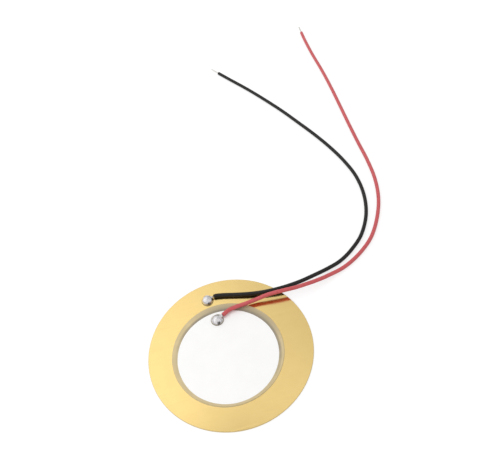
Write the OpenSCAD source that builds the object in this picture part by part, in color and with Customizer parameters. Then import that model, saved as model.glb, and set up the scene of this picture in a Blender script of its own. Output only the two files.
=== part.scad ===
// Piezo disc: a round brass plate, a thinner ceramic disc bonded on it, and two soldered leads.
// Millimetres. The origin is the centre of the plate's underside, and +Z points up through the
// ceramic. The plate lies on the plane z = 0, and so do the free stretches of the leads.

/* [Brass plate] */
// Diameter of the brass plate
plate_d = 35; // [32:0.5:42]
// Thickness of the brass plate
plate_t = 0.3; // [0.2:0.05:0.5]
// Radius that punching leaves on the plate's top edge
plate_roll = 0.08; // [0.02:0.01:0.15]

/* [Ceramic disc] */
// Diameter of the ceramic disc
ceramic_d = 23.6; // [23:0.1:24.6]
// Thickness of the ceramic disc
ceramic_t = 0.23; // [0.15:0.01:0.4]
// Bevel on the ceramic's edges
ceramic_bevel = 0.03; // [0.01:0.01:0.06]
// How far the ceramic sits off the plate's centre, along X
ceramic_shift_x = -0.65; // [-1:0.05:1]
// How far the ceramic sits off the plate's centre, along Y
ceramic_shift_y = -0.55; // [-1.5:0.05:0]

/* [Electrodes and bond] */
// Mean width of the bare rim round the silver electrode on top of the ceramic
front_electrode_rim = 1.1; // [0.9:0.05:1.6]
// How far the front electrode is printed off the ceramic's centre, along X
front_electrode_shift_x = -0.1; // [-0.3:0.05:0.3]
// How far the front electrode is printed off the ceramic's centre, along Y
front_electrode_shift_y = -0.65; // [-0.75:0.05:0.3]
// Bare rim that the silver electrode under the ceramic leaves
back_electrode_rim = 0.3; // [0.1:0.1:1]
// Thickness of either electrode
electrode_t = 0.01; // [0.005:0.005:0.03]
// Thickness of the adhesive under the back electrode
bond_t = 0.02; // [0.01:0.01:0.06]
// Width and height of the adhesive squeezed out round the ceramic
bond_bead = 0.12; // [0.05:0.01:0.2]

/* [Solder joints] */
// Diameter of the ground joint's dome, on the plate
ground_dome_d = 2.6; // [2.2:0.1:2.8]
// Height of the ground joint
ground_dome_h = 1.25; // [0.95:0.05:1.4]
// Diameter of the signal joint's dome, on the ceramic
signal_dome_d = 2.8; // [2.2:0.1:3.2]
// Height of the signal joint
signal_dome_h = 1; // [0.95:0.05:1.4]
// Width of the wetted foot round a dome
dome_foot = 0.06; // [0.04:0.01:0.2]
// Place of the ground joint on the plate's bare rim: 0 beside the ceramic, 1 at the plate's edge
ground_joint_share = 0.1; // [0:0.02:1]
// Direction of the ground joint from the plate's centre, in degrees
ground_joint_angle = 99; // [90:0.5:110]
// Distance of the signal joint's middle from the edge of the front electrode
signal_joint_inset = 1.95; // [1.75:0.05:3.2]
// Direction of the signal joint from the front electrode's centre, in degrees
signal_joint_angle = 92; // [80:0.5:100]

/* [Leads] */
// Outer diameter of a lead's insulation
lead_od = 0.9; // [0.7:0.05:1.1]
// Diameter of the tinned conductor in a lead
conductor_d = 0.38; // [0.25:0.01:0.5]
// Length of bare conductor at a lead's free end
bare_tip = 3; // [1:0.5:6]
// Bare conductor that shows between the ground joint's foot and the black insulation
ground_stub = 0.25; // [0.05:0.05:0.8]
// Bare conductor that shows between the signal joint's foot and the red insulation
signal_stub = 0.05; // [0.05:0.05:0.5]
// Direction in which the black lead leaves its joint, in degrees
ground_exit_angle = 8; // [-10:1:30]
// How far the black lead's conductor passes beside the middle of its joint
ground_wire_aside = 0.1; // [0:0.05:0.5]
// Direction in which the red lead leaves its joint, in degrees
signal_exit_angle = 23; // [10:1:45]

/* [Hidden] */

// Named clearances
seat_gap = 0.01;      // round a piece that fits inside another
lay_gap = 0.05;       // under a lead where it passes over the plate or the ceramic
joint_gap = 0.2;      // between the ground joint and the bond or the plate's rolled edge

// Segments round each kind of circle
disc_sides = 180;
dome_sides = 96;
wire_sides = 48;

// Levels, from the plate's underside up
bond_z = plate_t;
back_electrode_z = bond_z + bond_t;
ceramic_z = back_electrode_z + electrode_t;
front_electrode_z = ceramic_z + ceramic_t;
pad_z = front_electrode_z + electrode_t;

ceramic_at = [ceramic_shift_x, ceramic_shift_y, 0];
back_electrode_d = ceramic_d - 2 * back_electrode_rim;
front_electrode_d = ceramic_d - 2 * front_electrode_rim;
front_electrode_at = ceramic_at + [front_electrode_shift_x, front_electrode_shift_y, 0];

// Where the solder joints stand. The ground joint is on the plate's bare rim, which runs in its
// direction from the ceramic's edge to the plate's edge, and keeps clear of both.
function heading(angle) = [cos(angle), sin(angle), 0];
ground_way = heading(ground_joint_angle);
ceramic_along = ceramic_at * ground_way;
ceramic_across = norm(ceramic_at - ceramic_along * ground_way);
rim_start = ceramic_along + sqrt(pow(ceramic_d / 2, 2) - pow(ceramic_across, 2));
ground_reach = ground_dome_d / 2 + dome_foot + joint_gap;
ground_from = rim_start + seat_gap + bond_bead + ground_reach;
ground_to = plate_d / 2 - plate_roll - ground_reach;
ground_joint_r = ground_from + ground_joint_share * (ground_to - ground_from);
ground_joint = ground_joint_r * ground_way + [0, 0, plate_t];
signal_joint_r = front_electrode_d / 2 - signal_joint_inset;
signal_joint = front_electrode_at + signal_joint_r * heading(signal_joint_angle) + [0, 0, pad_z];

// A lead's axis where it lies on the plate, on the ceramic or on the floor, or rises above it
lead_r = lead_od / 2;
conductor_r = conductor_d / 2;
wire_h = lead_r + lay_gap;
function on_plate(x, y, rise = 0) = [x, y, plate_t + wire_h + rise];
function on_ceramic(x, y, rise = 0) = [x, y, pad_z + wire_h + rise];
function on_floor(x, y, rise = 0) = [x, y, lead_r + rise];

// The conductor's axis at each joint, and where the insulation starts
ground_wire =
    ground_joint + [0, 0, wire_h] + ground_wire_aside * heading(ground_exit_angle + 90);
signal_wire = signal_joint + [0, 0, wire_h];
black_start =
    ground_wire + (ground_dome_d / 2 + dome_foot + ground_stub) * heading(ground_exit_angle);
red_start =
    signal_wire + (signal_dome_d / 2 + dome_foot + signal_stub) * heading(signal_exit_angle);
buried = 0.4;         // length of conductor past the middle of a joint
straight = 0.5;       // straight stretch at the start of each lead

// The leads' axes, from the solder joint to the end of the insulation. The last stretch of
// each route sets the direction of the bare tip.
black_route = [
    black_start, black_start + straight * heading(ground_exit_angle),
    on_plate(1.6, 13.2), on_plate(4.4, 12.4), on_plate(7.1, 11.65, 0.1),
    on_plate(9.7, 11.05, 0.3), on_plate(12.4, 10.65, 0.55), on_plate(15.4, 10.5, 0.75),
    on_plate(18.8, 10.8, 0.7), on_floor(22, 11.5, 0.8), on_floor(26, 12.6, 0.35),
    on_floor(29.5, 13.9, 0.05), on_floor(33, 16.1), on_floor(36.6, 19.4),
    on_floor(39.8, 24.6), on_floor(41.6, 30.6), on_floor(42, 37), on_floor(41, 43.2),
    on_floor(39.2, 49.3), on_floor(36.9, 55.3), on_floor(34.2, 61.4), on_floor(31.4, 67.5),
    on_floor(28.2, 73.7), on_floor(24.7, 80), on_floor(20.9, 86.2), on_floor(18.3, 90.5)
];
red_route = [
    red_start, red_start + straight * heading(signal_exit_angle),
    on_ceramic(1.9, 8.9), on_ceramic(3.6, 9.15, 0.1), on_ceramic(5.8, 9.25, 0.15),
    on_plate(8.2, 9.4, 0.65), on_plate(11, 9.45, 1.2), on_plate(14, 9.3, 1.45),
    on_plate(17.2, 9.2, 1.4), on_plate(20, 9.5, 1.1), on_floor(22.6, 10, 0.95),
    on_floor(25.2, 10.65, 0.5), on_floor(29.7, 12, 0.05), on_floor(34.2, 14.4),
    on_floor(38.4, 17.9), on_floor(41.8, 22.7), on_floor(44.5, 28.4), on_floor(46.1, 34.7),
    on_floor(46.7, 41.4), on_floor(46.8, 48.3), on_floor(47, 55.5), on_floor(47.3, 63.2),
    on_floor(47.6, 71.4), on_floor(47.7, 80), on_floor(47.5, 89), on_floor(47.6, 96.5),
    on_floor(47.8, 100.5)
];

lead_rings = 40;      // stretches between a lead's rings
lead_sides = 8;
table_step = 0.125;   // step in u of the table of distances along a route
sweep_inset = 0.01;   // the swept wire lies inside the round wire at its two ends
end_overlap = 0.1;    // how far the swept wire runs into the round wire at either end

// A smooth curve through the points of a route, at u from 0 to len(p) - 1
function curve(a, b, c, d, t) =
    b + 0.5 * t * (c - a + t * (2 * a - 5 * b + 4 * c - d + t * (3 * (b - c) + d - a)));
function route_at(p, u) =
    let (last = len(p) - 1, i = min(floor(u), last - 1))
    let (before = i > 0 ? p[i - 1] : 2 * p[0] - p[1])
    let (after = i + 2 <= last ? p[i + 2] : 2 * p[last] - p[last - 1])
    let (q = curve(before, p[i], p[i + 1], after, u - i))
    [q.x, q.y, max(q.z, lead_r)];
function unit(v) = v / norm(v);
function along(p, u) =
    let (step = 0.01, last = len(p) - 1)
    unit(route_at(p, min(u + step, last)) - route_at(p, max(u - step, 0)));
function ring(centre, direction, r) =
    let (side = unit(cross([0, 0, 1], direction)), up = cross(unit(direction), side))
    [for (k = [0:lead_sides - 1])
        let (a = 360 * k / lead_sides)
        centre + r * (sin(a) * side - cos(a) * up)];
// Pairs of the distance along a route and u, and from them evenly spaced rings
function distances(p) =
    let (last = len(p) - 1)
    [for (u = 0, s = 0; u <= last;
          s = s + norm(route_at(p, min(u + table_step, last)) - route_at(p, u)),
          u = u + table_step)
        [s, u]];
function route_rings(p, r) =
    let (table = distances(p), length = table[len(table) - 1][0])
    [for (i = [0:lead_rings])
        let (u = lookup(i * length / lead_rings, table))
        ring(route_at(p, u), along(p, u), r)];

// Triangles of a band between two rings of points that start at a and b
function band(a, b) =
    [for (k = [0:lead_sides - 1])
        let (m = (k + 1) % lead_sides)
        each [[a + k, a + m, b + m], [a + k, b + m, b + k]]];

// A solid rod along rings
module rod(rings) {
    last = len(rings) - 1;
    polyhedron(
        points = [for (r = rings) each r],
        faces = concat(
            [[for (k = [0:lead_sides - 1]) k]],
            [for (i = [0:last - 1]) each band(lead_sides * (i + 1), lead_sides * i)],
            [[for (k = [0:lead_sides - 1]) lead_sides * (last + 1) - 1 - k]]
        )
    );
}

// A tube between outer and inner rings
module tube(outer, inner) {
    last = len(outer) - 1;
    inside = lead_sides * (last + 1);
    polyhedron(
        points = concat([for (r = outer) each r], [for (r = inner) each r]),
        faces = concat(
            [for (i = [0:last - 1]) each band(lead_sides * (i + 1), lead_sides * i)],
            [for (i = [0:last - 1])
                each band(inside + lead_sides * i, inside + lead_sides * (i + 1))],
            band(0, inside),
            band(inside + lead_sides * last, lead_sides * last)
        )
    );
}

// A round wire from one point to another
module round_wire(from, to, r) {
    v = to - from;
    translate(from)
        rotate([0, acos(v.z / norm(v)), atan2(v.y, v.x)])
            cylinder(h = norm(v), r = r, $fn = wire_sides);
}

// Points of a quarter of a circle about c, from angle a to angle b
function arc(c, r, a, b, steps = 6) =
    [for (i = [0:steps]) let (t = a + (b - a) * i / steps) c + r * [cos(t), sin(t)]];

module insulation(p) {
    bore_r = (conductor_r + seat_gap) / cos(180 / lead_sides);
    tube(route_rings(p, lead_r), route_rings(p, bore_r));
}

// The tinned wire: round from the joint to the insulation and at the bare tip, and swept
// between them. The swept stretch runs a little way into each round one.
module conductor(p, wire, angle) {
    last = len(p) - 1;
    swept_r = conductor_r - sweep_inset;
    start_run = end_overlap * along(p, 0);
    end_run = end_overlap * along(p, last);
    round_wire(wire - buried * heading(angle), p[0], conductor_r);
    rod(concat(
        [ring(p[0] - start_run, start_run, swept_r)],
        route_rings(p, swept_r),
        [ring(p[last] + end_run, end_run, swept_r)]
    ));
    round_wire(p[last], p[last] + bare_tip * along(p, last), conductor_r);
}

// A dome with a wetted foot, bored for the wire that it holds
module solder_joint(joint, dome_d, dome_h, wire, angle) {
    dome_r = dome_d / 2;
    ball_r = (dome_r * dome_r + dome_h * dome_h) / (2 * dome_h);
    ball_z = dome_h - ball_r;
    lean = asin((dome_foot - ball_z) / (ball_r + dome_foot));
    foot_at = [(ball_r + dome_foot) * cos(lean), dome_foot];
    difference() {
        translate(joint)
            rotate_extrude($fn = dome_sides)
                polygon(concat(
                    [[0, 0]],
                    arc(foot_at, dome_foot, 270, 180 + lean, 4),
                    arc([0, ball_z], ball_r, lean, 90, 11)
                ));
        round_wire(
            wire - (buried + seat_gap) * heading(angle), wire + dome_d * heading(angle),
            conductor_r + seat_gap);
    }
}

// The punched plate: its top edge is rolled over and its bottom edge is sharp
module brass_plate() {
    r = plate_d / 2;
    color("gold")
        rotate_extrude($fn = disc_sides)
            polygon(concat(
                [[0, 0], [r, 0]],
                arc([r - plate_roll, plate_t - plate_roll], plate_roll, 0, 90),
                [[0, plate_t]]
            ));
}

// A film under the back electrode, its bare rim and the squeezed-out bead round the ceramic
module bond_layer() {
    electrode_r = back_electrode_d / 2 + seat_gap;
    edge_r = ceramic_d / 2 + seat_gap;
    color("tan")
        translate(ceramic_at)
            rotate_extrude($fn = disc_sides)
                polygon([
                    [0, bond_z], [edge_r + bond_bead, bond_z], [edge_r, bond_z + bond_bead],
                    [edge_r, ceramic_z], [electrode_r, ceramic_z],
                    [electrode_r, back_electrode_z], [0, back_electrode_z]
                ]);
}

module back_electrode() {
    color("silver")
        translate(ceramic_at + [0, 0, back_electrode_z])
            cylinder(h = electrode_t, d = back_electrode_d, $fn = disc_sides);
}

module ceramic_disc() {
    r = ceramic_d / 2;
    b = ceramic_bevel;
    color("darkkhaki")
        translate(ceramic_at + [0, 0, ceramic_z])
            rotate_extrude($fn = disc_sides)
                polygon([
                    [0, 0], [r - b, 0], [r, b], [r, ceramic_t - b], [r - b, ceramic_t],
                    [0, ceramic_t]
                ]);
}

module front_electrode() {
    color("whitesmoke")
        translate(front_electrode_at + [0, 0, front_electrode_z])
            cylinder(h = electrode_t, d = front_electrode_d, $fn = disc_sides);
}

module ground_solder_joint() {
    color("lightgray")
        solder_joint(
            ground_joint, ground_dome_d, ground_dome_h, ground_wire, ground_exit_angle);
}

module signal_solder_joint() {
    color("lightgray")
        solder_joint(
            signal_joint, signal_dome_d, signal_dome_h, signal_wire, signal_exit_angle);
}

module black_lead_insulation() {
    color([0.08, 0.08, 0.08]) insulation(black_route);
}

module black_lead_conductor() {
    color("silver") conductor(black_route, ground_wire, ground_exit_angle);
}

module red_lead_insulation() {
    color([0.8, 0.1, 0.12]) insulation(red_route);
}

module red_lead_conductor() {
    color("silver") conductor(red_route, signal_wire, signal_exit_angle);
}

brass_plate();
bond_layer();
back_electrode();
ceramic_disc();
front_electrode();
ground_solder_joint();
signal_solder_joint();
black_lead_insulation();
black_lead_conductor();
red_lead_insulation();
red_lead_conductor();
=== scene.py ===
"""Looks of the piezo disc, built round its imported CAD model.

Lengths are in metres, in the part's own frame: the origin is the centre of the brass plate's
underside, and +Z points up through the ceramic. MM turns the millimetres that the part's
sizes and routes are given in into metres.
"""

import math

import bpy
import numpy as np
from mathutils import Matrix, Vector


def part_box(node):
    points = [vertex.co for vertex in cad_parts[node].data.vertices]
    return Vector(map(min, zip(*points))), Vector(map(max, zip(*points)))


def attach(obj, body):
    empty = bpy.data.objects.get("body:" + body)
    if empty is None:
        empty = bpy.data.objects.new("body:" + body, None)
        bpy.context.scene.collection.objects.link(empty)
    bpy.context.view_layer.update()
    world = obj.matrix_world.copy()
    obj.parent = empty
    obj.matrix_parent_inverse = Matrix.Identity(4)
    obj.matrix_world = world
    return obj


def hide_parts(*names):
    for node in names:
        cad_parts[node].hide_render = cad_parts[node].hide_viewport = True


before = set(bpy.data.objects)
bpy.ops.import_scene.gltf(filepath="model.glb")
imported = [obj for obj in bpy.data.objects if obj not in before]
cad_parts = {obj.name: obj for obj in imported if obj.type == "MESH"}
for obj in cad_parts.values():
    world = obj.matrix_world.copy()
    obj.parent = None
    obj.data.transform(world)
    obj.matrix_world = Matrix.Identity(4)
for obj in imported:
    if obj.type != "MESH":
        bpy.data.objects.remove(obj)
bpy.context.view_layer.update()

MM = 0.001
TURN = 2 * math.pi
ORIGIN = Vector((0, 0, 0))
UP = Vector((0, 0, 1))

# Sizes of the leads and joints, as in the part's source. A wire starts BURIED behind the middle
# of its dome, and its lead first runs on for STRAIGHT. SEAT_GAP is round what is held inside
# something else, and LAY_GAP is under a lead that lies on the disc.
LEAD_R = 0.45 * MM
CONDUCTOR_R = 0.19 * MM
BARE_TIP = 3 * MM
BURIED = 0.4 * MM
STRAIGHT = 0.5 * MM
SEAT_GAP = 0.01 * MM
LAY_GAP = 0.05 * MM
DOME_FOOT = 0.06 * MM

_, plate_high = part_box("brass_plate")
bond_low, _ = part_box("bond_layer")
back_low, back_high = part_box("back_electrode")
ceramic_low, ceramic_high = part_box("ceramic_disc")
print_low, print_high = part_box("front_electrode")
PLATE_TOP = plate_high.z
PAD_TOP = print_high.z
PLATE_R = plate_high.x
CERAMIC_R = (ceramic_high.x - ceramic_low.x) / 2
PRINT_R = (print_high.x - print_low.x) / 2
BACK_R = (back_high.x - back_low.x) / 2
CERAMIC_AT = (ceramic_low + ceramic_high) / 2
PRINT_AT = (print_low + print_high) / 2


# ---------------------------------------------------------------------------- camera

CAMERA_AT = Vector((0, -59.95, 115.5)) * MM
CAMERA_AIM = Vector((11.85, 28.71, 0)) * MM
CAMERA_ROLL = math.radians(-9.06)
CAMERA_LENS = 43.58
CAMERA_CLIP = (0.005, 20)


def add_camera():
    """The photo's view, rolled a little round its own axis."""
    forward = (CAMERA_AIM - CAMERA_AT).normalized()
    right = forward.cross(UP).normalized()
    up = right.cross(forward)
    across = right * math.cos(CAMERA_ROLL) + up * math.sin(CAMERA_ROLL)
    upright = up * math.cos(CAMERA_ROLL) - right * math.sin(CAMERA_ROLL)
    facing = Matrix((across, upright, -forward)).transposed().to_4x4()
    camera = bpy.data.objects.new("camera", bpy.data.cameras.new("camera"))
    bpy.context.scene.collection.objects.link(camera)
    camera.matrix_world = Matrix.Translation(CAMERA_AT) @ facing
    camera.data.lens = CAMERA_LENS
    camera.data.clip_start, camera.data.clip_end = CAMERA_CLIP
    bpy.context.scene.camera = camera


# ---------------------------------------------------------------------------- routes

STEPS_A_SPAN = 40


def heading(degrees):
    """A level direction, by its angle from +X."""
    return Vector((math.cos(math.radians(degrees)), math.sin(math.radians(degrees)), 0))


def lying_on(level):
    """Gives a function for the points of a lead that lies on a level, or over it by a rise."""
    def point(x, y, rise=0.0):
        """A point on the lead's axis, from millimetres."""
        return Vector((x, y, rise)) * MM + UP * (level + LEAD_R)
    return point


on_plate = lying_on(PLATE_TOP + LAY_GAP)
on_ceramic = lying_on(PAD_TOP + LAY_GAP)
on_floor = lying_on(0)


class Joint:
    """A joint's sizes and place, and where its wire passes and its lead starts."""

    def __init__(self, node, level, dome_d, dome_h, stub, exit_angle, aside):
        low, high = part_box(node)
        self.dome_r = dome_d / 2
        self.dome_h = dome_h
        self.at = Vector(((low.x + high.x) / 2, (low.y + high.y) / 2, level))
        self.way = heading(exit_angle)
        self.wire = self.at + UP * (LEAD_R + LAY_GAP) + aside * heading(exit_angle + 90)
        self.lead_start = self.wire + (self.dome_r + DOME_FOOT + stub) * self.way


ground = Joint("ground_solder_joint", PLATE_TOP, dome_d=2.6 * MM, dome_h=1.25 * MM,
               stub=0.25 * MM, exit_angle=8, aside=0.1 * MM)
signal = Joint("signal_solder_joint", PAD_TOP, dome_d=2.8 * MM, dome_h=1.0 * MM,
               stub=0.05 * MM, exit_angle=23, aside=0.0)

BLACK_ROUTE = [
    ground.lead_start, ground.lead_start + STRAIGHT * ground.way,
    on_plate(1.6, 13.2), on_plate(4.4, 12.4), on_plate(7.1, 11.65, 0.1),
    on_plate(9.7, 11.05, 0.3), on_plate(12.4, 10.65, 0.55), on_plate(15.4, 10.5, 0.75),
    on_plate(18.8, 10.8, 0.7), on_floor(22, 11.5, 0.8), on_floor(26, 12.6, 0.35),
    on_floor(29.5, 13.9, 0.05), on_floor(33, 16.1), on_floor(36.6, 19.4),
    on_floor(39.8, 24.6), on_floor(41.6, 30.6), on_floor(42, 37), on_floor(41, 43.2),
    on_floor(39.2, 49.3), on_floor(36.9, 55.3), on_floor(34.2, 61.4), on_floor(31.4, 67.5),
    on_floor(28.2, 73.7), on_floor(24.7, 80), on_floor(20.9, 86.2), on_floor(18.3, 90.5),
]
RED_ROUTE = [
    signal.lead_start, signal.lead_start + STRAIGHT * signal.way,
    on_ceramic(1.9, 8.9), on_ceramic(3.6, 9.15, 0.1), on_ceramic(5.8, 9.25, 0.15),
    on_plate(8.2, 9.4, 0.65), on_plate(11, 9.45, 1.2), on_plate(14, 9.3, 1.45),
    on_plate(17.2, 9.2, 1.4), on_plate(20, 9.5, 1.1), on_floor(22.6, 10, 0.95),
    on_floor(25.2, 10.65, 0.5), on_floor(29.7, 12, 0.05), on_floor(34.2, 14.4),
    on_floor(38.4, 17.9), on_floor(41.8, 22.7), on_floor(44.5, 28.4), on_floor(46.1, 34.7),
    on_floor(46.7, 41.4), on_floor(46.8, 48.3), on_floor(47, 55.5), on_floor(47.3, 63.2),
    on_floor(47.6, 71.4), on_floor(47.7, 80), on_floor(47.5, 89), on_floor(47.6, 96.5),
    on_floor(47.8, 100.5),
]


def smooth_line(points):
    """A Catmull-Rom line through a lead's points, which stays up on the floor."""
    p = np.array(points)
    p = np.vstack([2 * p[0] - p[1], p, 2 * p[-1] - p[-2]])
    t = np.linspace(0, 1, STEPS_A_SPAN, endpoint=False)[:, None]
    spans = [
        b + 0.5 * t * (c - a + t * (2 * a - 5 * b + 4 * c - d + t * (3 * (b - c) + d - a)))
        for a, b, c, d in zip(p, p[1:], p[2:], p[3:])
    ]
    line = np.vstack([*spans, p[-2]])
    line[:, 2] = np.maximum(line[:, 2], LEAD_R)
    return line


class Path:
    """A line that is read by the distance along it."""

    def __init__(self, line):
        steps = np.linalg.norm(np.diff(line, axis=0), axis=1)
        self.line = line
        self.run = np.concatenate([[0], np.cumsum(steps)])
        self.length = self.run[-1]

    def lengthened(self, start, end):
        """This path with a straight stretch before it, from start, and one of length end after."""
        last = self.line[-1] - self.line[-2]
        tip = self.line[-1] + last * end / np.linalg.norm(last)
        return Path(np.vstack([start, self.line, tip]))

    def at(self, distance):
        """The points at the distances along the path."""
        return np.stack([np.interp(distance, self.run, self.line[:, k]) for k in range(3)], -1)

    def frames(self, distance):
        """Centres, sideways vectors and upward vectors at the distances along the path."""
        reach = 0.1 * MM
        ahead = self.at(np.minimum(distance + reach, self.length))
        ahead -= self.at(np.maximum(distance - reach, 0))
        ahead /= np.linalg.norm(ahead, axis=1)[:, None]
        side = np.cross([0, 0, 1], ahead)
        side /= np.linalg.norm(side, axis=1)[:, None]
        return self.at(distance), side, np.cross(ahead, side)


# ---------------------------------------------------------------------------- meshes

def add_piece(name, verts, faces, material, slot, node, sharp=40):
    """A mesh piece that rides on the part and stands for a CAD node.

    An edge with a turn of more than sharp degrees isn't shaded smooth.
    """
    mesh = bpy.data.meshes.new(name)
    mesh.from_pydata([tuple(v) for v in verts], [], [tuple(f) for f in faces])
    mesh.update()
    piece = bpy.data.objects.new(name, mesh)
    bpy.context.scene.collection.objects.link(piece)
    mesh.materials.append(material)
    mesh.shade_smooth()
    mesh.set_sharp_from_angle(angle=math.radians(sharp))
    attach(piece, "root")
    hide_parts(node)
    return piece


def around(sides):
    """The angles of evenly spaced points round a circle."""
    return np.arange(sides) * TURN / sides


def evenly(start, end, step):
    """Evenly spaced numbers from start to end, about a step apart."""
    return np.linspace(start, end, max(2, round((end - start) / step) + 1))


def loft(rings, close_loop=False):
    """Vertices and faces of a skin over rings of equally many points.

    The last ring joins the first if the loop is closed. Otherwise both have a face over them.
    """
    rings = np.asarray(rings)
    count, sides = rings.shape[:2]
    spans = count if close_loop else count - 1
    faces = [
        (
            i * sides + k,
            i * sides + (k + 1) % sides,
            (i + 1) % count * sides + (k + 1) % sides,
            (i + 1) % count * sides + k,
        )
        for i in range(spans)
        for k in range(sides)
    ]
    if not close_loop:
        faces.append(tuple(reversed(range(sides))))
        faces.append(tuple(range((count - 1) * sides, count * sides)))
    return rings.reshape(-1, 3), faces


# ---------------------------------------------------------------------------- leads

LEAD_STEP = 0.4 * MM
LEAD_SIDES = 32
CUT_EDGE = 0.06 * MM
STRANDS_ROUND = 6
STRAND_STEP = 0.25 * MM
STRAND_SIDES = 60
STRAND_PITCH = 5 * MM
SOLDER_FILL_R = 0.155 * MM


def tube_rings(path, distance, radius, angle):
    """Rings round a path, with a row of radii and angles for each distance along it."""
    centre, side, up = path.frames(distance)
    across, high = radius * np.cos(angle), radius * np.sin(angle)
    return (
        centre[:, None, :]
        + across[..., None] * side[:, None, :]
        + high[..., None] * up[:, None, :]
    )


def insulation_stations(length):
    """A cut tube: its outer wall, rounded cut edges and the bore for the conductor."""
    bore_r = CONDUCTOR_R + SEAT_GAP
    rounding = [(CUT_EDGE * (1 - math.sin(a)), LEAD_R - CUT_EDGE * (1 - math.cos(a)))
                for a in np.radians([90, 60, 30])]
    outer = [(s, LEAD_R) for s in evenly(CUT_EDGE, length - CUT_EDGE, LEAD_STEP)]
    far = [(length - s, r) for s, r in reversed(rounding)]
    inner = [(s, bore_r) for s in evenly(0, length, LEAD_STEP)]
    return rounding + outer + far + inner[::-1]


def add_insulation(name, node, path, material, slot):
    """A lead's insulation, open at both ends."""
    distance, radius = np.array(insulation_stations(path.length)).T
    rings = tube_rings(path, distance, radius[:, None], around(LEAD_SIDES))
    return add_piece(name, *loft(rings, close_loop=True), material, slot, node)


def add_conductor(name, node, path, material):
    """Six tinned strands twisted round a seventh, as one skin with solder in its grooves."""
    strand_r = CONDUCTOR_R / 3
    lay_r = 2 * strand_r
    apart = TURN / STRANDS_ROUND
    angle = around(STRAND_SIDES)
    from_strand = (angle + apart / 2) % apart - apart / 2
    chord = np.sqrt(np.maximum(strand_r ** 2 - (lay_r * np.sin(from_strand)) ** 2, 0))
    outline = np.maximum(lay_r * np.cos(from_strand) + chord, SOLDER_FILL_R)
    distance = evenly(0, path.length, STRAND_STEP)
    twist = TURN * distance[:, None] / STRAND_PITCH
    rings = tube_rings(path, distance, outline, angle - twist)
    return add_piece(name, *loft(rings), material, "tinned_wire", node)


# ---------------------------------------------------------------------------- discs

DISC_SIDES = 288
PLATE_ROLL = 0.08 * MM
PLATE_BURR = 0.01 * MM
CERAMIC_BEVEL = 0.03 * MM
BEAD_H = 0.12 * MM
BEAD_WAVE = 0.03 * MM
PRINT_WAVE = 0.025 * MM

# The bead's outline from its foot up, in shares of its height: out from the ceramic, and up
BEAD_OUTLINE = [(1, 0), (0.6, 0.35), (0.2, 0.7), (0, 1)]

# A flat ring just inside a disc's shaped edge keeps the shading of its big faces flat
LAND = 0.05 * MM

# Radii past this share of the outermost one are uneven where an edge has a wave
RIM_SHARE = 0.98

# Swells and ripples of a printed or squeezed-out edge: how many a turn, and their shares
SWELLS = [(2, 0.3), (3, 0.3), (5, 0.25), (9, 0.2), (17, 0.15), (31, 0.15), (53, 0.12)]


def turned(outline, centre, sides, wave=0.0):
    """Rings of a turned piece from an outline of radii and heights.

    A wave makes the outermost radii uneven. It is an array of one length for each side.
    """
    angle = around(sides)
    outermost = max(r for r, _ in outline)
    rings = []
    for r, z in outline:
        uneven = r + (wave if r > RIM_SHARE * outermost else 0.0)
        rings.append(np.column_stack([
            centre.x + uneven * np.cos(angle), centre.y + uneven * np.sin(angle),
            np.full(sides, z),
        ]))
    return rings


def uneven_edge(size, seed):
    """A wave round a disc's edge, from 0 to twice the size inwards."""
    angle = around(DISC_SIDES)
    random = np.random.default_rng(seed)
    wave = sum(share * np.sin(k * angle + random.uniform(0, TURN)) for k, share in SWELLS)
    return size * wave / np.abs(wave).max() - size


def rounded_edge(radius, top, rounding, steps):
    """Points of the quarter circle that rounds a disc's upper edge."""
    return [
        (radius - rounding + rounding * math.cos(a), top - rounding + rounding * math.sin(a))
        for a in np.radians(np.linspace(0, 90, steps))
    ]


def add_disc(name, node, outline, centre, material, slot, wave=0.0):
    """A disc that is turned from its outline."""
    rings = turned(outline, centre, DISC_SIDES, wave)
    add_piece(name, *loft(rings), material, slot, node)


def add_plate():
    """The punched plate: its upper edge rolled over, and a fine burr below."""
    land_r = PLATE_R - PLATE_ROLL - LAND
    outline = [(land_r, 0), (PLATE_R - PLATE_BURR, 0), (PLATE_R, PLATE_BURR)]
    outline += rounded_edge(PLATE_R, PLATE_TOP, PLATE_ROLL, steps=9)
    outline += [(land_r, PLATE_TOP)]
    add_disc("punched_plate", "brass_plate", outline, ORIGIN, brass_material(), "brass")


def add_bond():
    """The adhesive film, and the bead that is squeezed out of it round the ceramic."""
    edge_r = CERAMIC_R + SEAT_GAP
    seat_r = BACK_R + SEAT_GAP
    outline = [(edge_r - LAND, bond_low.z)]
    outline += [(edge_r + out * BEAD_H, bond_low.z + up * BEAD_H) for out, up in BEAD_OUTLINE]
    outline += [(edge_r, ceramic_low.z), (seat_r, ceramic_low.z)]
    outline += [(seat_r, back_low.z), (BACK_R - LAND, back_low.z)]
    add_disc("adhesive_film", "bond_layer", outline, CERAMIC_AT, bond_material(), "bond",
             uneven_edge(BEAD_WAVE, seed=3))


def add_ceramic():
    """The ceramic wafer, with its edges broken."""
    low, high = ceramic_low.z, ceramic_high.z
    land_r = CERAMIC_R - CERAMIC_BEVEL - LAND
    outline = [(land_r, low), (CERAMIC_R - CERAMIC_BEVEL, low), (CERAMIC_R, low + CERAMIC_BEVEL)]
    outline += rounded_edge(CERAMIC_R, high, CERAMIC_BEVEL, steps=5)
    outline += [(land_r, high)]
    add_disc("pzt_wafer", "ceramic_disc", outline, CERAMIC_AT, ceramic_material(), "ceramic")


def add_silver():
    """The fired print, which thins out at its edge."""
    low, high = print_low.z, print_high.z
    film = high - low
    outline = [(PRINT_R - LAND, low), (PRINT_R, low), (PRINT_R - 0.2 * film, low + 0.6 * film)]
    outline += [(PRINT_R - film, high), (PRINT_R - LAND, high)]
    add_disc("silver_print", "front_electrode", outline, PRINT_AT,
             silver_material("fired_silver"), "silver", uneven_edge(PRINT_WAVE, seed=8))


# ---------------------------------------------------------------------------- solder

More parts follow.
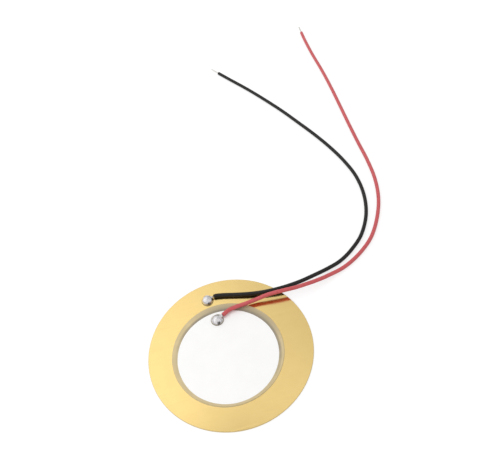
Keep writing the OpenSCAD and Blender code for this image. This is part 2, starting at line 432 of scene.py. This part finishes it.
# The domes are made in millimetres from the foot's centre. Their skin is cut off at the foot
# after it is melted, so it starts a little below it.
DOME_SIDES = 96
DOME_BELOW = 0.1
DOME_POLE_R = 0.001
FILLET_STEPS = 6
BALL_STEPS = 24
MELT_VOXEL = 0.04
SETTLE_FACTOR = 0.5
SETTLE_TIMES = 8

# Solder drawn out along the wire: shares of the dome's radius, and its own radius there
MENISCUS_SIDES = 32
MENISCUS = [(0, 0.36), (0.6, 0.36), (0.85, 0.31), (0.95, 0.26), (1.02, 0.225),
            (1.08, CONDUCTOR_R / MM + 0.004)]


def dome_outline(joint):
    """A ball on a wetted foot, as two arcs that meet in one tangent."""
    dome_r, dome_h = joint.dome_r / MM, joint.dome_h / MM
    foot = DOME_FOOT / MM
    ball_r = (dome_r ** 2 + dome_h ** 2) / (2 * dome_h)
    ball_z = dome_h - ball_r
    lean = math.asin((foot - ball_z) / (ball_r + foot))
    foot_x = (ball_r + foot) * math.cos(lean)
    outline = [(DOME_POLE_R, -DOME_BELOW), (foot_x, -DOME_BELOW), (foot_x, 0)]
    outline += [(foot_x - foot * math.sin(a), foot - foot * math.cos(a))
                for a in np.linspace(0, TURN / 4 - lean, FILLET_STEPS)[1:]]
    outline += [(ball_r * math.cos(a), ball_z + ball_r * math.sin(a))
                for a in np.linspace(lean, TURN / 4, BALL_STEPS)[1:-1]]
    return outline + [(DOME_POLE_R, dome_h)]


def meniscus_rings(joint):
    """Rings of the solder round the wire, from the dome's middle outwards."""
    wire = (joint.wire - joint.at) / MM
    side = Vector((-joint.way.y, joint.way.x, 0))
    rings = []
    for share, r in MENISCUS:
        centre = wire + joint.way * share * (joint.dome_r / MM)
        rings.append([centre + side * r * math.cos(a) + UP * (r * math.sin(a))
                      for a in around(MENISCUS_SIDES)])
    return np.array(rings)


def melt(piece):
    """A mesh that joins all the bodies of a piece into one smooth skin."""
    joined = piece.modifiers.new("melt", "REMESH")
    joined.mode = "VOXEL"
    joined.voxel_size = MELT_VOXEL
    settled = piece.modifiers.new("settle", "SMOOTH")
    settled.factor = SETTLE_FACTOR
    settled.iterations = SETTLE_TIMES
    bpy.context.view_layer.update()
    graph = bpy.context.evaluated_depsgraph_get()
    melted = bpy.data.meshes.new_from_object(piece.evaluated_get(graph))
    piece.modifiers.clear()
    return melted


def add_solder(name, node, joint, material):
    """A wetted dome with a meniscus on the wire, melted together and set on its foot."""
    verts, faces = loft(turned(dome_outline(joint), ORIGIN, DOME_SIDES))
    more_verts, more_faces = loft(meniscus_rings(joint))
    faces += [tuple(i + len(verts) for i in face) for face in more_faces]
    verts = np.vstack([verts, more_verts])
    piece = add_piece(name, verts, faces, material, "solder", node, sharp=180)
    melted = melt(piece)
    co = np.array([v.co for v in melted.vertices])
    co[:, 2] = np.maximum(co[:, 2], 0)
    co = co * MM + np.array(joint.at)
    melted.vertices.foreach_set("co", co.ravel())
    melted.name = name
    piece.data = melted
    melted.update()
    melted.shade_smooth()


# ---------------------------------------------------------------------------- materials

WHITE = (1, 1, 1, 1)


class Nodes:
    """A node tree, with short calls for the nodes that feed each other."""

    def __init__(self, owner):
        owner.use_nodes = True
        self.tree = owner.node_tree

    def set(self, node, values):
        """Sets or links inputs. A key is a socket's name, or _1 for the number of an input."""
        for key, value in values.items():
            socket = node.inputs[int(key[1:]) if key[0] == "_" else key.replace("_", " ")]
            if isinstance(value, bpy.types.NodeSocket):
                self.tree.links.new(value, socket)
            else:
                socket.default_value = value

    def node(self, kind, settings=None, **values):
        """A new node, with its settings and its inputs' values."""
        node = self.tree.nodes.new("ShaderNode" + kind)
        for key, value in (settings or {}).items():
            setattr(node, key, value)
        self.set(node, values)
        return node

    def add(self, kind, settings=None, **values):
        """A new node's first output."""
        return self.node(kind, settings, **values).outputs[0]

    def band(self, value, low, high, to_low=0.0, to_high=1.0, smooth=True):
        """A change from to_low to to_high, while the value goes from low to high."""
        kind = "SMOOTHSTEP" if smooth else "LINEAR"
        return self.add("MapRange", {"interpolation_type": kind}, _0=value, _1=low, _2=high,
                        _3=to_low, _4=to_high)

    def math(self, operation, a, b):
        """The result of a sum, product or other operation on two numbers."""
        return self.add("Math", {"operation": operation}, _0=a, _1=b)

    def measure(self, operation, *vectors):
        """The number that a vector operation such as LENGTH or DOT_PRODUCT gives."""
        inputs = {f"_{i}": vector for i, vector in enumerate(vectors)}
        return self.node("VectorMath", {"operation": operation}, **inputs).outputs["Value"]


class Shader(Nodes):
    """A material of one Principled node, which reads its place on the part in millimetres."""

    def __init__(self, name, **constants):
        self.material = bpy.data.materials.new(name)
        super().__init__(self.material)
        self.principled = self.tree.nodes["Principled BSDF"]
        self.set(self.principled, constants)
        place = self.node("TexCoord").outputs["Object"]
        self.mm = self.add("VectorMath", {"operation": "SCALE"}, Vector=place, Scale=1 / MM)

    def noise(self, scale, detail, stretch=(1, 1, 1), turn=0.0, distortion=0.0):
        """Noise from 0 to 1 with about scale cells a millimetre."""
        place = self.add("Mapping", Vector=self.mm, Rotation=(0, 0, math.radians(turn)),
                         Scale=stretch)
        return self.add("TexNoise", Vector=place, Scale=scale, Detail=detail,
                        Distortion=distortion)

    def blend(self, factor, a, b):
        """A colour between a and b."""
        inputs = {"_0": factor, "_6": a, "_7": b}
        return self.node("Mix", {"data_type": "RGBA"}, **inputs).outputs[2]

    def level_offset(self, centre):
        """Where a point is from an upright axis through centre, with no height."""
        offset = self.add("VectorMath", {"operation": "SUBTRACT"}, _0=self.mm,
                          _1=(centre.x / MM, centre.y / MM, 0))
        return self.add("VectorMath", {"operation": "MULTIPLY"}, _0=offset, _1=(1, 1, 0))

    def radius(self, centre):
        """Millimetres from an upright axis through centre."""
        return self.measure("LENGTH", self.level_offset(centre))

    def towards(self, centre, way):
        """Millimetres that a point lies from centre in a level direction."""
        return self.measure("DOT_PRODUCT", self.level_offset(centre), way)

    def height(self):
        """Millimetres above the plate's underside."""
        return self.measure("DOT_PRODUCT", self.mm, UP)

    def bump(self, height, depth):
        """Bump of a depth in millimetres."""
        normal = self.add("Bump", Height=height, Distance=depth * MM, Strength=1.0)
        self.set(self.principled, {"Normal": normal})

    def feed(self, **sockets):
        """Feeds the Principled node, and gives the finished material."""
        self.set(self.principled, sockets)
        return self.material


def brass_material():
    """Rolled brass sheet: fine rolling lines, faint blotches, a few hairline scratches, and painted
    shade darkening its outermost rim.
    """
    warm, deep = (0.96, 0.715, 0.285, 1), (0.94, 0.69, 0.27, 1)
    line, painted_rim_shade = (0.92, 0.68, 0.29, 1), (0.62, 0.47, 0.21, 1)
    s = Shader("brass", Metallic=1.0)
    rolled = s.noise(1.0, 4, stretch=(0.12, 9, 1), turn=-15)
    blotches = s.noise(0.35, 4)
    scratches = s.noise(1.0, 1, stretch=(0.05, 2.2, 1), turn=52, distortion=0.4)
    scratch = s.band(scratches, 0.715, 0.735, smooth=False)
    tint = s.blend(s.band(blotches, 0.35, 0.75), warm, deep)
    lined = s.blend(s.band(rolled, 0.3, 0.7, 0, 0.35), tint, line)
    # Painted shade: the plate's outermost rim is coloured a darker brass, and it is rougher too.
    edge = s.band(s.radius(ORIGIN), PLATE_R / MM - 0.1, PLATE_R / MM - 0.03)
    rough = s.band(rolled, 0.25, 0.75, 0.13, 0.20)
    rough = s.math("ADD", rough, s.math("MULTIPLY", scratch, 0.08))
    rough = s.math("ADD", rough, s.math("MULTIPLY", edge, 0.2))
    s.bump(s.math("SUBTRACT", rolled, s.math("MULTIPLY", scratch, 1.5)), 0.0006)
    return s.feed(Base_Color=s.blend(edge, lined, painted_rim_shade), Roughness=rough)


def silver_material(name):
    """Fired silver: a chalky print with a fine grain and grey specks."""
    pale, cloudy = (0.965, 0.96, 0.948, 1), (0.948, 0.943, 0.933, 1)
    grey = (0.8, 0.8, 0.78, 1)
    s = Shader(name, Metallic=0.25)
    grain = s.noise(14, 3)
    tone = s.blend(s.band(s.noise(0.3, 3), 0.3, 0.7), pale, cloudy)
    speck = s.blend(s.band(grain, 0.62, 0.75, 0, 0.25), tone, grey)
    s.bump(grain, 0.002)
    return s.feed(Base_Color=speck, Roughness=s.band(grain, 0.3, 0.7, 0.42, 0.58))


def ceramic_material():
    """Tan ceramic with a darker grey line beside the print that is strongest on the leads' side,
    and with painted shade of the leads over that side.

    Its distances are in millimetres from the print's middle.
    """
    tan, deep = (0.66, 0.53, 0.295, 1), (0.60, 0.485, 0.265, 1)
    lead_shade_grey, darkening = (0.325, 0.277, 0.195, 1), (0.228, 0.198, 0.155, 1)
    pale = (0.62, 0.53, 0.35, 1)
    s = Shader("pzt_ceramic", Metallic=0.0)
    grain = s.noise(10, 3)
    blotch = s.noise(0.5, 3)
    from_print = s.radius(PRINT_AT)
    to_leads = s.towards(PRINT_AT, heading(60))
    body = s.blend(s.band(blotch, 0.3, 0.7), tan, deep)
    # Painted shade of the leads: the ceramic is coloured darker grey towards the leads, less so out
    # at its edge.
    painted_lead_shade = s.math("MULTIPLY", s.band(to_leads, 4.5, 11, 0, 0.85),
                   s.band(from_print, 11.2, 12.4, 1.0, 0.45))
    # A darker grey line just beside the print's edge, much stronger towards the leads.
    side = s.math("MULTIPLY", s.band(to_leads, -7, 9, 0.12, 1.0),
                  s.band(blotch, 0.3, 0.7, 0.8, 1.0))
    darkened = s.math("MULTIPLY", s.band(from_print, 11.45, 10.95), side)
    tone = s.blend(darkened, s.blend(painted_lead_shade, body, lead_shade_grey), darkening)
    grained = s.blend(s.band(grain, 0.35, 0.7, 0, 0.2), tone, pale)
    s.bump(grain, 0.002)
    return s.feed(Base_Color=grained, Roughness=s.band(grain, 0.3, 0.7, 0.5, 0.7))


def bond_material():
    """Cured adhesive, squeezed out in an uneven bead."""
    deep, pale = (0.62, 0.49, 0.25, 1), (0.72, 0.58, 0.31, 1)
    s = Shader("adhesive", Metallic=0.0)
    wave = s.noise(3, 3)
    tone = s.blend(s.band(wave, 0.3, 0.7), deep, pale)
    s.bump(wave, 0.01)
    return s.feed(Base_Color=tone, Roughness=s.band(wave, 0.3, 0.7, 0.25, 0.4))


# Where the painted dark reflection on each dome is, in millimetres from the middle of a joint's
# foot
PAINTED_REFLECTION = Vector((0.12, -1.14, 0.50))


def solder_material(name, joint):
    """Bright solder: flux stain and painted shade darken its foot, and a painted dark reflection
    makes a speck on its front.
    """
    bright, frosty = (0.80, 0.78, 0.79, 1), (0.64, 0.625, 0.64, 1)
    dark_brown, pale_brown = (0.27, 0.23, 0.17, 1), (0.40, 0.36, 0.29, 1)
    reflection_dark = (0.085, 0.08, 0.075, 1)
    s = Shader(name, Metallic=1.0)
    frost = s.noise(5, 4)
    lumps = s.noise(1.1, 2)
    tone = s.blend(s.band(frost, 0.4, 0.7), bright, frosty)
    level = joint.at.z / MM
    # Flux stain and painted shade: the solder is coloured darker low on the dome, round its foot.
    foot = s.band(s.height(), level + 0.12, level + 0.5, 0.9, 0.0)
    darkened = s.blend(foot, tone, s.blend(s.band(frost, 0.3, 0.7), dark_brown, pale_brown))
    # A painted dark reflection: a speck of near-black colour on the dome's front.
    away = s.measure("DISTANCE", s.mm, joint.at / MM + PAINTED_REFLECTION)
    away = s.math("ADD", away, s.math("MULTIPLY", s.noise(2.5, 3), 0.9))
    speck = s.band(away, 0.95, 0.62, 0, 0.85)
    rough = s.math("ADD", s.band(frost, 0.35, 0.75, 0.12, 0.28), s.math("MULTIPLY", foot, 0.25))
    s.bump(s.math("ADD", frost, s.math("MULTIPLY", lumps, 30)), 0.004)
    return s.feed(Base_Color=s.blend(speck, darkened, reflection_dark), Roughness=rough)


def wire_material(name, joint):
    """Tinned strands, coloured dark brown where they come out of the joint."""
    bright, dull = (0.80, 0.79, 0.77, 1), (0.66, 0.64, 0.60, 1)
    dark_brown = (0.22, 0.17, 0.11, 1)
    s = Shader(name, Metallic=1.0)
    patch = s.noise(4, 3)
    tone = s.blend(s.band(patch, 0.35, 0.7), bright, dull)
    # Darker within a few millimetres of the joint's middle.
    darkening = s.band(s.radius(joint.at), 4, 6, 0.85, 0)
    s.bump(patch, 0.003)
    return s.feed(Base_Color=s.blend(darkening, tone, dark_brown),
                  Roughness=s.band(patch, 0.3, 0.7, 0.22, 0.38))


def pvc_material(name, light, dark, specular):
    """Soft PVC: faint drawn lines and handling marks on an even colour."""
    s = Shader(name, Metallic=0.0, Specular_IOR_Level=specular)
    marks = s.noise(2.2, 4)
    skin = s.noise(9, 3)
    tone = s.blend(s.band(marks, 0.35, 0.7), light, dark)
    s.bump(skin, 0.004)
    return s.feed(Base_Color=tone, Roughness=s.band(marks, 0.3, 0.7, 0.32, 0.46))


# ---------------------------------------------------------------------------- stage

FLOOR_HALF = 3.0
FLOOR_GREY = (0.85, 0.85, 0.85, 1)

# To the camera and to reflections the floor is this glow and, as a faint shadow, this grey
FLOOR_GLOW = 0.70
SHADOW_GREY = (0.35, 0.35, 0.35, 1)

LAMP_AT = Vector((-0.30, 0.25, 0.40))
LAMP_SIZE = 0.56
LAMP_POWER = 1.1

# The light that the world gives to all but the camera and reflections
SKY_DIFFUSE = 0.85

# What reflections show of the world. Each ramp has a direction, from and to how far in that
# direction the level changes, and the level before and after.
SKY_RIGHT = (Vector((0.77, 0.80, 0)), 0.355, 0.478, 0.91, 0.71)
SKY_LEFT = (Vector((-0.85, 0.67, 0)), 0.264, 0.379, 0, 0.31)
SKY_BACK = (Vector((0, 1, 0)), 0.445, 0.54, 1, 0.65)
SKY_HORIZON = (UP, 0.0, 0.4, 0.45, 1)

# Dark spots in it: a direction, the outer and inner angle from it, and the level inside
DARK_SPOT = (Vector((0.225, -0.87, 0.218)).normalized(), 26, 12, 0.65)
SMALL_SPOT = (Vector((-0.03, 0.28, 0.96)).normalized(), 5, 2.5, 0.5)


def floor_material():
    """White to the camera and to reflections, with a faint shadow of what lies on it."""
    material = bpy.data.materials.new("floor")
    nodes = Nodes(material)
    nodes.tree.nodes.clear()
    rays = nodes.node("LightPath").outputs
    seen = nodes.math("MAXIMUM", rays["Is Camera Ray"], rays["Is Glossy Ray"])
    seen = nodes.math("MAXIMUM", seen, rays["Is Transmission Ray"])
    plain = nodes.add("BsdfDiffuse", Color=FLOOR_GREY)
    shaded = nodes.add("BsdfDiffuse", Color=SHADOW_GREY)
    glow = nodes.add("Emission", Color=WHITE, Strength=FLOOR_GLOW)
    white = nodes.add("AddShader", _0=shaded, _1=glow)
    above = nodes.add("MixShader", _0=seen, _1=plain, _2=white)
    below = nodes.add("BsdfTransparent")
    from_below = nodes.node("NewGeometry").outputs["Backfacing"]
    one_sided = nodes.add("MixShader", _0=from_below, _1=above, _2=below)
    nodes.node("OutputMaterial", Surface=one_sided)
    return material


def add_floor():
    """A plain floor under the part, which isn't there when it is seen from below."""
    mesh = bpy.data.meshes.new("floor")
    corners = [(x * FLOOR_HALF, y * FLOOR_HALF, 0) for x, y in ((-1, -1), (1, -1), (1, 1), (-1, 1))]
    mesh.from_pydata(corners, [], [(0, 1, 2, 3)])
    mesh.materials.append(floor_material())
    floor = bpy.data.objects.new("floor", mesh)
    bpy.context.scene.collection.objects.link(floor)


def add_world():
    """White to the camera, and to reflections a soft studio: bright left, dimmer right."""
    world = bpy.data.worlds.new("studio")
    bpy.context.scene.world = world
    nodes = Nodes(world)
    nodes.tree.nodes.clear()
    direction = nodes.node("TexCoord").outputs["Generated"]

    def ramp(way, low, high, to_low, to_high):
        """A change of level over the world, from one side of it to another."""
        along = nodes.measure("DOT_PRODUCT", direction, way)
        return nodes.band(along, low, high, to_low, to_high)

    def spot(way, outer, inner, level):
        """A round spot of another level in the world."""
        edge, core = math.cos(math.radians(outer)), math.cos(math.radians(inner))
        return ramp(way, edge, core, 1, level)

    left = nodes.math("MULTIPLY", ramp(*SKY_LEFT), ramp(*SKY_BACK))
    sides = nodes.math("ADD", ramp(*SKY_RIGHT), left)
    spots = nodes.math("MULTIPLY", spot(*DARK_SPOT), spot(*SMALL_SPOT))
    reflected = nodes.math("MULTIPLY", nodes.math("MULTIPLY", sides, spots), ramp(*SKY_HORIZON))
    rays = nodes.node("LightPath").outputs
    camera = rays["Is Camera Ray"]
    mirror = nodes.math("MAXIMUM", rays["Is Glossy Ray"], rays["Is Transmission Ray"])
    other = nodes.math("SUBTRACT", nodes.math("SUBTRACT", 1.0, mirror), camera)
    strength = nodes.math("MULTIPLY", other, SKY_DIFFUSE)
    strength = nodes.math("ADD", strength, nodes.math("MULTIPLY", mirror, reflected))
    strength = nodes.math("ADD", strength, camera)
    background = nodes.add("Background", Color=WHITE, Strength=strength)
    nodes.node("OutputWorld", Surface=background)


def add_lamp():
    """One wide, soft lamp from the upper left and behind. Reflections show the world alone."""
    data = bpy.data.lights.new("softbox", "AREA")
    data.shape = "SQUARE"
    data.size = LAMP_SIZE
    data.energy = LAMP_POWER
    lamp = bpy.data.objects.new("softbox", data)
    bpy.context.scene.collection.objects.link(lamp)
    lamp.visible_glossy = False
    lamp.location = LAMP_AT
    lamp.rotation_euler = (-LAMP_AT).to_track_quat("-Z", "Y").to_euler()


# ---------------------------------------------------------------------------- the part

add_camera()

black_path = Path(smooth_line(BLACK_ROUTE))
red_path = Path(smooth_line(RED_ROUTE))
black_pvc = pvc_material("black_pvc", light=(0.013, 0.012, 0.011, 1),
                         dark=(0.008, 0.007, 0.007, 1), specular=0.3)
red_pvc = pvc_material("red_pvc", light=(0.58, 0.10, 0.108, 1), dark=(0.51, 0.08, 0.088, 1),
                       specular=0.4)

for colour, path, joint, pvc in (
    ("black", black_path, ground, black_pvc),
    ("red", red_path, signal, red_pvc),
):
    whole = path.lengthened(joint.wire - BURIED * joint.way, BARE_TIP)
    insulation = add_insulation(f"{colour}_sleeving", f"{colour}_lead_insulation", path, pvc,
                                f"{colour}_insulation")
    conductor = add_conductor(f"{colour}_strands", f"{colour}_lead_conductor", whole,
                              wire_material(f"{colour}_strand_tin", joint))
    path.at(evenly(0, path.length, LEAD_STEP))

for name, joint in (("ground_solder", ground), ("signal_solder", signal)):
    add_solder(name, f"{name}_joint", joint, solder_material(name, joint))

add_plate()
add_bond()
add_ceramic()
add_silver()
under_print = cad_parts["back_electrode"].data
under_print.materials.clear()
under_print.materials.append(silver_material("silver_underneath"))

add_floor()
add_world()
add_lamp()
bpy.context.scene.view_settings.view_transform = "Standard"
